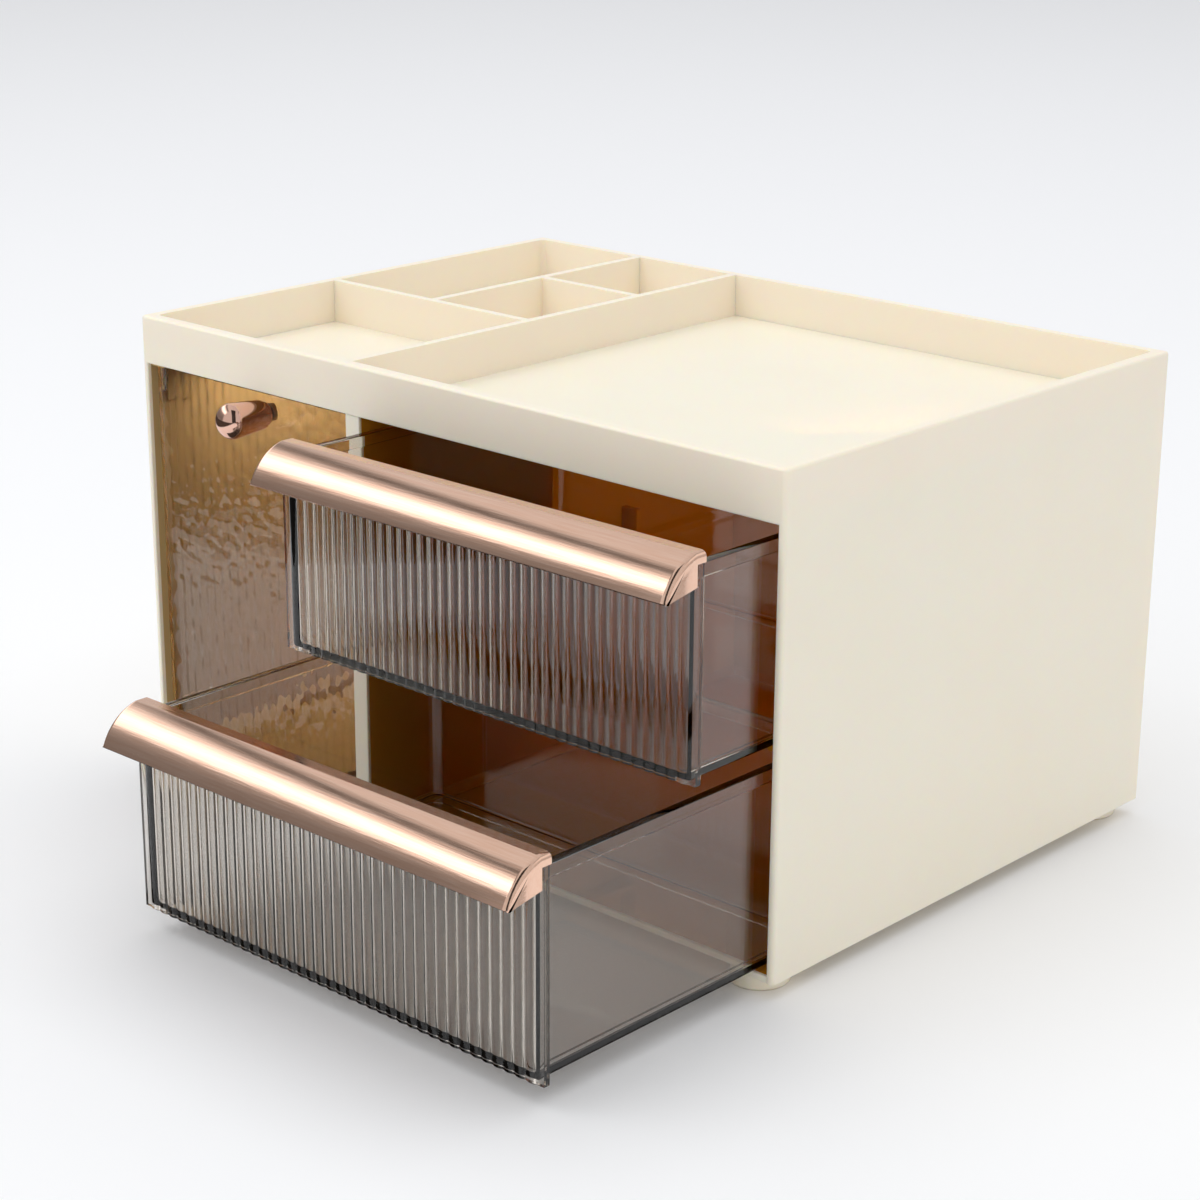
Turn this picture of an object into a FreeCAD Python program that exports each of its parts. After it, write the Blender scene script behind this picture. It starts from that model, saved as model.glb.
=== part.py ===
import FreeCAD, Part
import os
from types import SimpleNamespace

import Sketcher

# Desktop organizer: an open tray on top, a cabinet with a swinging door on the left, two drawers on the right.
# Millimetres, +Z up, +X to the right, +Y to the back; the origin is on the table under the middle of the case.
# The drawers stand open as they were photographed, and the door is shut.

SIZES = {
    # Case
    "case_width": 280.0,
    "case_depth": 196.0,
    "case_height": 155.0,
    "corner_radius": 1.5,
    "inner_corner_radius": 1.0,
    "wall": 2.5,
    "edge_round": 0.6,
    "floor_thickness": 2.0,
    "floor_setback": 0.2,
    "back_recess": 6.5,
    "back_thickness": 2.5,
    "cabinet_width": 98.7,
    "divider_thickness": 6.4,
    "divider_setback": 0.5,
    # Tray on top
    "rim_width": 4.1,
    "rim_round": 1.0,
    "tray_depth": 15.0,
    "tray_floor": 1.3,
    "well_corner_radius": 2.0,
    "partition": 3.0,
    "left_section_width": 94.2,
    "front_section_depth": 79.7,
    "long_section_width": 47.4,
    "middle_section_depth": 52.2,
    # Feet
    "foot_height": 5.5,
    "foot_diameter": 19.0,
    "foot_chamfer": 0.8,
    "foot_from_side": 13.5,
    "foot_from_front": 10.5,
    # Door, its pins and its catch
    "front_recess": 3.5,
    "door_thickness": 3.0,
    "door_gap": 0.8,
    "door_end_gap": 0.5,
    "pivot_inset": 2.3,
    "pivot_plate": 1.0,
    "pivot_plate_reach": 14.0,
    "pivot_plate_margin": 3.0,
    "pin_diameter": 2.4,
    "pin_depth": 8.0,
    "pin_clearance": 0.05,
    "pin_seat_clearance": 0.02,
    "pin_tip_gap": 0.15,
    "magnet_width": 14.0,
    "magnet_depth": 8.0,
    "magnet_height": 8.0,
    "strike_width": 11.0,
    "strike_height": 6.0,
    "strike_thickness": 0.8,
    "strike_margin": 0.6,
    "catch_gap": 0.3,
    # Knob
    "knob_from_hinge_edge": 55.4,
    "knob_drop": 6.7,
    "knob_diameter": 12.0,
    "knob_length": 17.2,
    "knob_base_diameter": 10.0,
    "knob_dome": 3.8,
    "collar_diameter": 8.2,
    "collar_thickness": 1.6,
    "screw_diameter": 3.0,
    "screw_head_diameter": 6.0,
    "screw_head_height": 1.8,
    "screw_depth": 8.0,
    "screw_clearance": 0.1,
    # Drawers
    "upper_pull": 35.7,
    "lower_pull": 95.5,
    "drawer_depth": 121.0,
    "drawer_gap": 0.7,
    "panel_thickness": 2.2,
    "panel_margin": 2.6,
    "panel_floor_gap": 0.45,
    "reed_count": 39,
    "reed_height": 0.55,
    "reed_land": 0.3,
    "reed_top_margin": 0.4,
    "tub_wall": 1.8,
    "tub_floor": 1.8,
    "tub_corner_radius": 3.6,
    "tub_inner_radius": 1.8,
    "tub_round": 1.0,
    "rim_drop": 0.6,
    "rim_flange": 1.2,
    "rim_flange_height": 4.0,
    # Runners
    "glide_height": 0.9,
    "runner_clearance": 0.3,
    "runner_overlap": 4.0,
    "ledge_thickness": 2.5,
    "runner_start_gap": 1.2,
    "stop_gap": 0.4,
    "stop_thickness": 2.5,
    "stop_height": 12.0,
    # Handles
    "handle_clearance": 0.7,
    "handle_reach": 14.0,
    "handle_height": 12.0,
    "handle_back_height": 9.6,
    "handle_radius": 18.0,
    "handle_wall": 1.6,
    "handle_end_wall": 2.0,
    "lip_depth": 3.0,
    "lip_thickness": 3.2,
}


class Size:
    """A length kept both as a number and as an expression on the sheet, so that a sketch starts where it ends."""

    def __init__(self, text, value):
        self.text = text
        self.value = value

    def joined(self, sign, other, value):
        return Size(f"({self.text} {sign} {other.text})", value)

    def __add__(self, other):
        other = as_size(other)
        return self.joined("+", other, self.value + other.value)

    def __sub__(self, other):
        other = as_size(other)
        return self.joined("-", other, self.value - other.value)

    def __mul__(self, other):
        other = as_size(other)
        return self.joined("*", other, self.value * other.value)

    def __truediv__(self, other):
        other = as_size(other)
        return self.joined("/", other, self.value / other.value)

    def __neg__(self):
        return Size(f"(-1 * {self.text})", -self.value)


def as_size(length):
    return length if isinstance(length, Size) else Size(str(length), length)


def leg_of(slope, other):
    """The second leg of a right triangle, from its long side and its first leg."""
    square = slope * slope - other * other
    return Size(f"sqrt({square.text})", square.value ** 0.5)


doc = FreeCAD.newDocument("drawer_organizer")
sheet = doc.addObject("Spreadsheet::Sheet", "sizes")
for row, (name, value) in enumerate(SIZES.items(), start=1):
    sheet.set(f"A{row}", name)
    sheet.set(f"B{row}", str(value))
    sheet.setAlias(f"B{row}", name)
doc.recompute()
s = SimpleNamespace(**{name: Size(f"sizes.{name}", value) for name, value in SIZES.items()})
ZERO = Size("0", 0.0)

# Planes of the case that the pieces share
left = -s.case_width / 2
right = s.case_width / 2
front = -s.case_depth / 2
back = s.case_depth / 2
case_bottom = s.foot_height
case_top = case_bottom + s.case_height
well_floor = case_top - s.tray_depth
bay_top = well_floor - s.tray_floor
floor_top = case_bottom + s.floor_thickness
inner_left = left + s.wall
inner_right = right - s.wall
divider_left = inner_left + s.cabinet_width
divider_right = divider_left + s.divider_thickness
back_inner = back - s.back_recess - s.back_thickness
bay_width = inner_right - divider_right
bay_centre = (divider_right + inner_right) / 2
recess_plane = front + s.front_recess
slot_height = (bay_top - floor_top) / 2

# Heights of a drawer, above the bottom of its own slot
handle_top = slot_height - s.handle_clearance
panel_top = handle_top - s.lip_thickness
rim_top = panel_top - s.rim_drop
tub_bottom = s.glide_height + s.runner_clearance
panel_width = bay_width - s.drawer_gap * 2
tub_width = panel_width - s.panel_margin * 2

nodes = []


def place(thing, x=ZERO, y=ZERO, z=ZERO):
    """Binds where a finished piece stands."""
    for axis, where in zip("xyz", (x, y, z)):
        thing.setExpression(f"Placement.Base.{axis}", where.text)


def node(thing, label):
    """Names a finished piece and puts it on the list of files."""
    thing.Label = label
    nodes.append(thing)
    return thing


def block(name, x, y, z):
    """A plain block; x, y and z each give its low and high plane."""
    made = doc.addObject("Part::Box", name)
    for side, axis, (low, high) in zip(("Length", "Width", "Height"), "xyz", (x, y, z)):
        made.setExpression(side, (high - low).text)
        made.setExpression(f"Placement.Base.{axis}", low.text)
    return made


def upright_rod(name, diameter, x, y, low, high):
    """A round rod along Z from low to high."""
    made = doc.addObject("Part::Cylinder", name)
    made.setExpression("Radius", (diameter / 2).text)
    made.setExpression("Height", (high - low).text)
    place(made, x, y, low)
    return made


def fused(name, *pieces):
    made = doc.addObject("Part::MultiFuse", name)
    made.Shapes = list(pieces)
    return made


def cut(name, base, tool):
    made = doc.addObject("Part::Cut", name)
    made.Base = base
    made.Tool = tool
    return made


def new_body(name):
    return doc.addObject("PartDesign::Body", name)


def sketch_on(body, role, offset=ZERO):
    """An empty sketch on one of the body's own planes, moved along that plane's normal."""
    sketch = body.newObject("Sketcher::SketchObject", f"{body.Name}_sketch")
    plane = next(item for item in body.Origin.OriginFeatures if item.Role == role)
    sketch.AttachmentSupport = (plane, [""])
    sketch.MapMode = "FlatFace"
    sketch.setExpression("AttachmentOffset.Base.z", offset.text)
    return sketch


def outline(sketch, corners, arcs=None):
    """Draws a closed loop, counter-clockwise, with each corner held at its two coordinates.

    arcs gives, for a corner's number, the radius of the outward arc that runs from it to the next corner.
    """
    arcs = arcs or {}
    first = len(sketch.Geometry)
    points = [FreeCAD.Vector(x.value, y.value, 0) for x, y in corners]
    shapes = []
    for i, start in enumerate(points):
        end = points[(i + 1) % len(points)]
        if i not in arcs:
            shapes.append(Part.LineSegment(start, end))
            continue
        along = end - start
        to_left = FreeCAD.Vector(-along.y, along.x, 0).normalize()
        rise = (arcs[i].value ** 2 - (along.Length / 2) ** 2) ** 0.5
        centre = (start + end) / 2 + to_left * rise
        radius = arcs[i].value
        middle = centre - to_left * radius
        shapes.append(Part.Arc(start, middle, end))
    sketch.addGeometry(shapes, False)
    bound = []
    for i, (x, y) in enumerate(corners):
        follower = first + (i + 1) % len(corners)
        sketch.addConstraint(Sketcher.Constraint("Coincident", first + i, 2, follower, 1))
        bound.append(("DistanceX", x, i))
        bound.append(("DistanceY", y, i))
    for kind, length, i in bound:
        number = sketch.addConstraint(Sketcher.Constraint(kind, -1, 1, first + i, 1, length.value))
        sketch.setExpression(f"Constraints[{number}]", length.text)
    for i, radius in arcs.items():
        number = sketch.addConstraint(Sketcher.Constraint("Radius", first + i, radius.value))
        sketch.setExpression(f"Constraints[{number}]", radius.text)


def rectangle(sketch, x, y):
    (x0, x1), (y0, y1) = x, y
    outline(sketch, [(x0, y0), (x1, y0), (x1, y1), (x0, y1)])


def rounded_rectangle(sketch, width, depth, radius):
    """A rectangle about the origin with four round corners."""
    x, y = width / 2, depth / 2
    corners = [
        (radius - x, -y), (x - radius, -y), (x, radius - y), (x, y - radius),
        (x - radius, y), (radius - x, y), (-x, y - radius), (-x, radius - y),
    ]
    outline(sketch, corners, {1: radius, 3: radius, 5: radius, 7: radius})


def feature(body, kind, sketch, length=None, **settings):
    """A pad or pocket of the sketch; a pocket with no length goes through everything."""
    made = body.newObject(f"PartDesign::{kind}", f"{body.Name}_{kind.lower()}")
    made.Profile = sketch
    if length is None:
        made.Type = "ThroughAll"
    else:
        made.setExpression("Length", length.text)
    for name, value in settings.items():
        setattr(made, name, value)
    doc.recompute()
    return made


def turned(body, sketch):
    """Revolves a half profile about the sketch's upright axis."""
    made = body.newObject("PartDesign::Revolution", f"{body.Name}_revolution")
    made.Profile = sketch
    made.ReferenceAxis = (sketch, ["V_Axis"])
    made.Angle = 360
    doc.recompute()
    return made


def rounded(body, base, radius, test):
    """Fillets the edges of base whose every corner passes the test."""
    edges = [
        f"Edge{number}"
        for number, edge in enumerate(base.Shape.Edges, start=1)
        if all(test(corner.Point) for corner in edge.Vertexes)
    ]
    made = body.newObject("PartDesign::Fillet", f"{body.Name}_fillet")
    made.Base = (base, edges)
    made.setExpression("Radius", radius.text)
    doc.recompute()
    return made


def near(a, b):
    return abs(a - b.value) < 0.01


def outer_shell():
    """Side walls, top bands and rim in one moulding, open at the front, at the back and underneath."""
    body = new_body("outer_shell")
    sketch = sketch_on(body, "XY_Plane")
    rounded_rectangle(sketch, s.case_width, s.case_depth, s.corner_radius)
    feature(body, "Pad", sketch, s.case_height)
    sketch = sketch_on(body, "XY_Plane")
    rounded_rectangle(
        sketch, s.case_width - s.wall * 2, s.case_depth - s.wall * 2, s.inner_corner_radius
    )
    feature(body, "Pocket", sketch, s.case_height - s.tray_depth, Reversed=True)
    sketch = sketch_on(body, "XY_Plane", s.case_height - s.tray_depth)
    rounded_rectangle(
        sketch,
        s.case_width - s.rim_width * 2,
        s.case_depth - s.rim_width * 2,
        s.well_corner_radius,
    )
    feature(body, "Pocket", sketch, s.tray_depth, Reversed=True)
    band_bottom = s.case_height - s.tray_depth - s.tray_floor
    sketch = sketch_on(body, "XZ_Plane")
    rectangle(sketch, (inner_left, inner_right), (ZERO, band_bottom))
    walls = feature(body, "Pocket", sketch, s.case_depth * 2, Midplane=True)

    def on_outside(point):
        return near(abs(point.x), right) or near(abs(point.y), back)

    def on_mouth(point):
        beside = near(abs(point.x), inner_right) and point.z < band_bottom.value + 0.01
        return near(abs(point.y), back) and beside

    rim = rounded(
        body, walls, s.rim_round, lambda point: on_outside(point) and near(point.z, s.case_height)
    )
    rounded(body, rim, s.edge_round, on_mouth)
    place(body, z=case_bottom)
    node(body, "outer_shell")


def top_tray():
    """Tray floor, seated from below against the step of the shell, with the partitions that stand on it."""
    body = new_body("top_tray")
    sketch = sketch_on(body, "XY_Plane")
    rounded_rectangle(
        sketch, s.case_width - s.wall * 2, s.case_depth - s.wall * 2, s.inner_corner_radius * 1.3
    )
    feature(body, "Pad", sketch, s.tray_floor)
    well_left, well_right = left + s.rim_width, right - s.rim_width
    well_front, well_back = front + s.rim_width, back - s.rim_width
    main_left = well_left + s.left_section_width
    cross_front = well_front + s.front_section_depth
    cross_back = cross_front + s.partition
    long_left = well_left + s.long_section_width
    long_right = long_left + s.partition
    middle_back = cross_back + s.middle_section_depth
    partitions = [
        ((main_left, main_left + s.partition), (well_front, well_back)),
        ((well_left, main_left), (cross_front, cross_back)),
        ((long_left, long_right), (cross_back, well_back)),
        ((long_right, main_left), (middle_back, middle_back + s.partition)),
    ]
    for x, y in partitions:
        sketch = sketch_on(body, "XY_Plane")
        rectangle(sketch, x, y)
        feature(body, "Pad", sketch, s.tray_floor + s.tray_depth)
    place(body, z=bay_top)
    node(body, "top_tray")


def case_plates():
    """Bottom plate, inset back panel and the divider between the cabinet and the drawers."""
    floor_front = front + s.floor_setback
    plate = block(
        "bottom_plate", (inner_left, inner_right), (floor_front, -floor_front), (case_bottom, floor_top)
    )
    node(plate, "bottom_plate")
    panel = block(
        "back_panel",
        (inner_left, inner_right),
        (back_inner, back_inner + s.back_thickness),
        (floor_top, bay_top),
    )
    node(panel, "back_panel")
    divider = block(
        "centre_divider",
        (divider_left, divider_right),
        (front + s.divider_setback, back_inner),
        (floor_top, bay_top),
    )
    node(divider, "centre_divider")


def foot(label, side, end):
    """A round foot with a chamfered tread; side and end are -1 or 1."""
    body = new_body(label)
    sketch = sketch_on(body, "XZ_Plane")
    radius = s.foot_diameter / 2
    profile = [
        (ZERO, ZERO),
        (radius - s.foot_chamfer, ZERO),
        (radius, s.foot_chamfer),
        (radius, s.foot_height),
        (ZERO, s.foot_height),
    ]
    outline(sketch, profile)
    turned(body, sketch)
    place(body, (right - s.foot_from_side) * side, (back - s.foot_from_front) * end)
    node(body, label)


def runner(label, on_left, slot_bottom, thickness):
    """A ledge along one side of a slot, with an upright stop behind the closed drawer."""
    body = new_body(label)
    start = recess_plane + s.panel_thickness + s.runner_start_gap
    stop = recess_plane + s.drawer_depth + s.stop_gap
    end = stop + s.stop_thickness
    top = s.glide_height
    profile = [
        (start, top - thickness),
        (end, top - thickness),
        (end, top + s.stop_height),
        (stop, top + s.stop_height),
        (stop, top),
        (start, top),
    ]
    sketch = sketch_on(body, "YZ_Plane")
    outline(sketch, profile)
    width = s.drawer_gap + s.panel_margin + s.runner_overlap
    feature(body, "Pad", sketch, width)
    place(body, x=divider_right if on_left else inner_right - width, z=slot_bottom)
    node(body, label)


# The door's edges and the upright axis that it swings on
door_left = inner_left + s.door_gap
door_right = divider_left - s.door_gap
door_back = recess_plane + s.door_thickness
door_bottom = floor_top + s.pivot_plate + s.door_end_gap
door_top = bay_top - s.pivot_plate - s.door_end_gap
pivot_x = door_left + s.pivot_inset
pivot_y = recess_plane + s.door_thickness / 2
knob_x = door_left + s.knob_from_hinge_edge
knob_z = door_top - s.knob_drop


def pivot_plate(label, tab, leg):
    """An angle on the cabinet's side wall; its tab has the hole that a door pin turns in."""
    y = (pivot_y - s.pivot_plate_margin, pivot_y + s.pivot_plate_reach)
    flat = block(f"{label}_tab", (inner_left, pivot_x + s.pivot_plate_margin), y, tab)
    leg_front = pivot_y + s.pivot_plate_margin + s.door_gap
    upright = block(f"{label}_leg", (inner_left, inner_left + s.pivot_plate), (leg_front, y[1]), leg)
    hole = upright_rod(
        f"{label}_hole", s.pin_diameter + s.pin_clearance * 2, pivot_x, pivot_y, *tab
    )
    node(cut(label, fused(f"{label}_angle", flat, upright), hole), label)


def pivot_plates():
    pivot_plate(
        "pivot_plate_top", (bay_top - s.pivot_plate, bay_top), (bay_top - s.pivot_plate_reach, bay_top)
    )
    pivot_plate(
        "pivot_plate_bottom",
        (floor_top, floor_top + s.pivot_plate),
        (floor_top, floor_top + s.pivot_plate_reach),
    )


def door():
    """Flat panel with blind holes for the pins in its ends and a hole for the knob's screw."""
    slab = block(
        "door_slab", (door_left, door_right), (recess_plane, door_back), (door_bottom, door_top)
    )
    seat = s.pin_diameter + s.pin_seat_clearance * 2
    top_seat = upright_rod("pin_seat_top", seat, pivot_x, pivot_y, door_top - s.pin_depth, door_top)
    bottom_seat = upright_rod(
        "pin_seat_bottom", seat, pivot_x, pivot_y, door_bottom, door_bottom + s.pin_depth
    )
    screw_hole = doc.addObject("Part::Cylinder", "knob_hole")
    screw_hole.setExpression("Radius", (s.screw_diameter / 2 + s.screw_clearance).text)
    screw_hole.setExpression("Height", s.door_thickness.text)
    screw_hole.Placement.Rotation = FreeCAD.Rotation(FreeCAD.Vector(1, 0, 0), 90)
    place(screw_hole, knob_x, door_back, knob_z)
    node(cut("door_panel", slab, fused("door_holes", top_seat, bottom_seat, screw_hole)), "door_panel")
    tip = s.door_end_gap + s.pivot_plate - s.pin_tip_gap
    top_pin = upright_rod(
        "door_pin_top", s.pin_diameter, pivot_x, pivot_y, door_top - s.pin_depth, door_top + tip
    )
    node(top_pin, "door_pin_top")
    bottom_pin = upright_rod(
        "door_pin_bottom", s.pin_diameter, pivot_x, pivot_y, door_bottom - tip, door_bottom + s.pin_depth
    )
    node(bottom_pin, "door_pin_bottom")


def catch():
    """Magnet on the floor beside the divider, and the steel strike on the door's back that it holds."""
    strike_right = door_right - s.strike_margin
    strike = block(
        "catch_strike",
        (strike_right - s.strike_width, strike_right),
        (door_back, door_back + s.strike_thickness),
        (door_bottom + s.strike_margin, door_bottom + s.strike_margin + s.strike_height),
    )
    node(strike, "catch_strike")
    magnet_front = door_back + s.strike_thickness + s.catch_gap
    magnet = block(
        "catch_magnet",
        (divider_left - s.magnet_width, divider_left),
        (magnet_front, magnet_front + s.magnet_depth),
        (floor_top, floor_top + s.magnet_height),
    )
    node(magnet, "catch_magnet")


def knob():
    """Turned knob that widens to a domed end, with a narrow collar against the door and a screw from behind."""
    base = s.knob_base_diameter / 2
    head = s.knob_diameter / 2
    bore = s.screw_diameter / 2 + s.screw_clearance
    collar_front = -s.collar_thickness
    bore_end = s.door_thickness - s.screw_depth
    tip = collar_front - s.knob_length
    dome_start = tip + s.knob_dome
    dome_radius = (head * head + s.knob_dome * s.knob_dome) / (s.knob_dome * 2)
    profile = [
        (ZERO, bore_end),
        (ZERO, tip),
        (head, dome_start),
        (base, collar_front),
        (bore, collar_front),
        (bore, bore_end),
    ]
    body = new_body("knob")
    sketch = sketch_on(body, "XY_Plane")
    outline(sketch, profile, {1: dome_radius})
    turned(body, sketch)
    place(body, knob_x, recess_plane, knob_z)
    node(body, "knob")

    body = new_body("knob_collar")
    sketch = sketch_on(body, "XY_Plane")
    rectangle(sketch, (bore, s.collar_diameter / 2), (collar_front, ZERO))
    turned(body, sketch)
    place(body, knob_x, recess_plane, knob_z)
    node(body, "knob_collar")

    shank = s.screw_diameter / 2
    head_back = s.door_thickness + s.screw_head_height
    screw_tip = bore_end + s.screw_clearance
    profile = [
        (ZERO, screw_tip),
        (shank, screw_tip),
        (shank, s.door_thickness),
        (s.screw_head_diameter / 2, s.door_thickness),
        (s.screw_head_diameter / 2, head_back),
        (ZERO, head_back),
    ]
    body = new_body("knob_screw")
    sketch = sketch_on(body, "XY_Plane")
    outline(sketch, profile)
    turned(body, sketch)
    place(body, knob_x, recess_plane, knob_z)
    node(body, "knob_screw")


def drawer_tub(label):
    """See-through tub with three walls, round back corners and a rim flange; the reeded front closes it."""
    body = new_body(label)
    x, start, end = tub_width / 2, s.panel_thickness, s.drawer_depth

    def u_outline(sketch, inset, radius):
        side, rear = x - inset, end - inset
        corners = [
            (-side, start), (side, start), (side, rear - radius),
            (side - radius, rear), (radius - side, rear), (-side, rear - radius),
        ]
        outline(sketch, corners, {2: radius, 4: radius})

    sketch = sketch_on(body, "XY_Plane", tub_bottom)
    u_outline(sketch, ZERO, s.tub_corner_radius)
    pad = feature(body, "Pad", sketch, rim_top - tub_bottom)
    rounded(
        body, pad, s.tub_round, lambda point: near(point.z, tub_bottom) and not near(point.y, start)
    )
    sketch = sketch_on(body, "XY_Plane", rim_top - s.rim_flange_height)
    u_outline(sketch, -s.rim_flange, s.tub_corner_radius + s.rim_flange)
    feature(body, "Pad", sketch, s.rim_flange_height)
    sketch = sketch_on(body, "XY_Plane", tub_bottom + s.tub_floor)
    u_outline(sketch, s.tub_wall, s.tub_inner_radius)
    feature(body, "Pocket", sketch, rim_top - tub_bottom, Reversed=True)
    return body


def drawer_front(label):
    """Front panel with a row of upright reeds that runs down to its lower edge, plain behind the handle."""
    body = new_body(label)
    half = panel_width / 2
    sketch = sketch_on(body, "XY_Plane", s.panel_floor_gap)
    rectangle(sketch, (-half, half), (ZERO, s.panel_thickness))
    feature(body, "Pad", sketch, panel_top - s.panel_floor_gap)
    pitch = tub_width / s.reed_count
    chord = (pitch - s.reed_land) / 2
    radius = (chord * chord + s.reed_height * s.reed_height) / (s.reed_height * 2)
    middle = (pitch - tub_width) / 2
    sketch = sketch_on(body, "XY_Plane", s.panel_floor_gap)
    outline(sketch, [(middle - chord, ZERO), (middle + chord, ZERO)], {0: radius})
    reed_top = handle_top - s.handle_back_height - s.reed_top_margin
    reed = feature(body, "Pad", sketch, reed_top - s.panel_floor_gap)
    row = body.newObject("PartDesign::LinearPattern", f"{label}_reeds")
    row.Originals = [reed]
    row.Direction = (sketch, ["H_Axis"])
    row.setExpression("Length", (tub_width - pitch).text)
    row.setExpression("Occurrences", s.reed_count.text)
    body.Tip = row
    return body


def handle(label):
    """Pull of one long arc that hooks over the panel, hollowed underneath between its end walls."""
    body = new_body(label)
    tip_z = handle_top - s.handle_height
    profile = [
        (s.lip_depth, panel_top),
        (s.lip_depth, handle_top),
        (-s.handle_reach, tip_z),
        (ZERO, handle_top - s.handle_back_height),
        (ZERO, panel_top),
    ]
    sketch = sketch_on(body, "YZ_Plane")
    outline(sketch, profile, {1: s.handle_radius})
    feature(body, "Pad", sketch, panel_width, Midplane=True)
    inner_radius = s.handle_radius - s.handle_wall
    centre_z = handle_top - s.handle_radius
    hollow_back = -s.handle_wall
    hollow_top = centre_z + leg_of(inner_radius, s.lip_depth - hollow_back)
    hollow_front = s.lip_depth - leg_of(inner_radius, tip_z - centre_z)
    hollow = [(hollow_back, tip_z), (hollow_back, hollow_top), (hollow_front, tip_z)]
    sketch = sketch_on(body, "YZ_Plane")
    outline(sketch, hollow, {1: inner_radius})
    feature(body, "Pocket", sketch, panel_width - s.handle_end_wall * 2, Midplane=True)
    return body


def drawer(prefix, slot_bottom, pull):
    """Tub, front and handle of one drawer, drawn out of its slot by pull."""
    pieces = [
        drawer_tub(f"{prefix}_drawer_tub"),
        drawer_front(f"{prefix}_drawer_front"),
        handle(f"{prefix}_handle"),
    ]
    for piece in pieces:
        place(piece, bay_centre, recess_plane - pull, slot_bottom)
        node(piece, piece.Name)


outer_shell()
top_tray()
case_plates()
for side_name, side in (("left", -1), ("right", 1)):
    for end_name, end in (("front", -1), ("back", 1)):
        foot(f"foot_{end_name}_{side_name}", side, end)
upper_slot = floor_top + slot_height
for side_name in ("left", "right"):
    runner(f"upper_runner_{side_name}", side_name == "left", upper_slot, s.ledge_thickness)
    runner(f"lower_runner_{side_name}", side_name == "left", floor_top, s.glide_height)
pivot_plates()
door()
catch()
knob()
drawer("upper", upper_slot, s.upper_pull)
drawer("lower", floor_top, s.lower_pull)

doc.recompute()
for thing in doc.Objects:
    if "Invalid" in thing.State or "Error" in thing.State:
        raise RuntimeError(f"{thing.Label} failed: {thing.State}")
for thing in nodes:
    if thing.Shape.isNull() or not thing.Shape.isValid():
        raise RuntimeError(f"{thing.Label} has no valid shape")
os.makedirs("parts", exist_ok=True)
for thing in nodes:
    thing.Shape.exportStep(f"parts/{thing.Label}.step")
    print(f"{thing.Label:22s} {len(thing.Shape.Solids)} solid, {thing.Shape.Volume:10.1f} mm3")
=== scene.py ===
from math import asin, cos, pi, radians, sin

import bmesh
import bpy
from mathutils import Matrix, Vector, noise


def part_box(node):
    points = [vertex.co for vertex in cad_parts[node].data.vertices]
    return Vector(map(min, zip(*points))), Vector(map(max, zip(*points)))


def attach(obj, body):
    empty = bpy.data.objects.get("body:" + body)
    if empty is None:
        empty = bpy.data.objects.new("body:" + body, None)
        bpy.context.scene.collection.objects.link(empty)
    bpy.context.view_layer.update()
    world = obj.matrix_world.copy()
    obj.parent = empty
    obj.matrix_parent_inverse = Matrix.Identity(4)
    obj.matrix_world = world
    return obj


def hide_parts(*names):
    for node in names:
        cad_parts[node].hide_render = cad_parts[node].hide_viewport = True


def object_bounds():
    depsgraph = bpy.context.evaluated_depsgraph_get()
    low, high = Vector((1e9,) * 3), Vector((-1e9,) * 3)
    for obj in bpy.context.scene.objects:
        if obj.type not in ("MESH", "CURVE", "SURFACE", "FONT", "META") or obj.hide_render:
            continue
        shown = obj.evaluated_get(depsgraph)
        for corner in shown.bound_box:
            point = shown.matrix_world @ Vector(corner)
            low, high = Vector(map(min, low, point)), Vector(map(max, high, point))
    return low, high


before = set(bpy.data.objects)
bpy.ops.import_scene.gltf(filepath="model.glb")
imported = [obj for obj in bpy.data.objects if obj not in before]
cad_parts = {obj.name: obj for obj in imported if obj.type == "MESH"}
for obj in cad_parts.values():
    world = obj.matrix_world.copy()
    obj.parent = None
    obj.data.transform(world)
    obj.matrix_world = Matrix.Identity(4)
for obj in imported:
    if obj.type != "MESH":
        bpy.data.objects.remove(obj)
cad_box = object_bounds()
scene = bpy.context.scene


# Case: the shell, tray, floor, back, divider, runners and pivot plates are moulded in cream polystyrene and
# snapped together. Their solids already have the right shape, so each is copied and merged, and the plain
# slabs and runners get the small rounding that a mould leaves. Sizes are in metres.
SHAPED_NODES = ("outer_shell", "top_tray", "pivot_plate_top", "pivot_plate_bottom")
PLAIN_NODES = ("bottom_plate", "back_panel", "centre_divider")
RUNNER_NODES = ("upper_runner_left", "upper_runner_right", "lower_runner_left", "lower_runner_right")
MOULD_ROUND = 0.0004
CREAM_PALE = "#F9F1E1"
CREAM_DEEP = "#F6ECD9"
CREAM_CLOUD = 0.045
CREAM_ROUGHNESS = (0.30, 0.42)
CREAM_GRAIN = 0.0006
CREAM_GRAIN_DEPTH = 0.00006
CREAM_LIGHT_DEPTH = 0.003
# Painted light and shade for the inner faces: the amber of light that comes in through the cream walls,
# deeper in the drawer bay.
BAY_PAINTED_LIGHT_AND_SHADE = "#C88410"
CABINET_PAINTED_LIGHT_AND_SHADE = "#C4A570"
INSIDE_SKIN = 0.0003
INSIDE_FRONT = 0.001
FLAT_AREA = 0.0003
SHARP_ANGLE = radians(35)
MERGE_DISTANCE = 1e-6
# A Mix node has these sockets for its two colours and for the colour that comes out.
FIRST_COLOUR = 6
SECOND_COLOUR = 7
MIXED_COLOUR = 2

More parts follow.
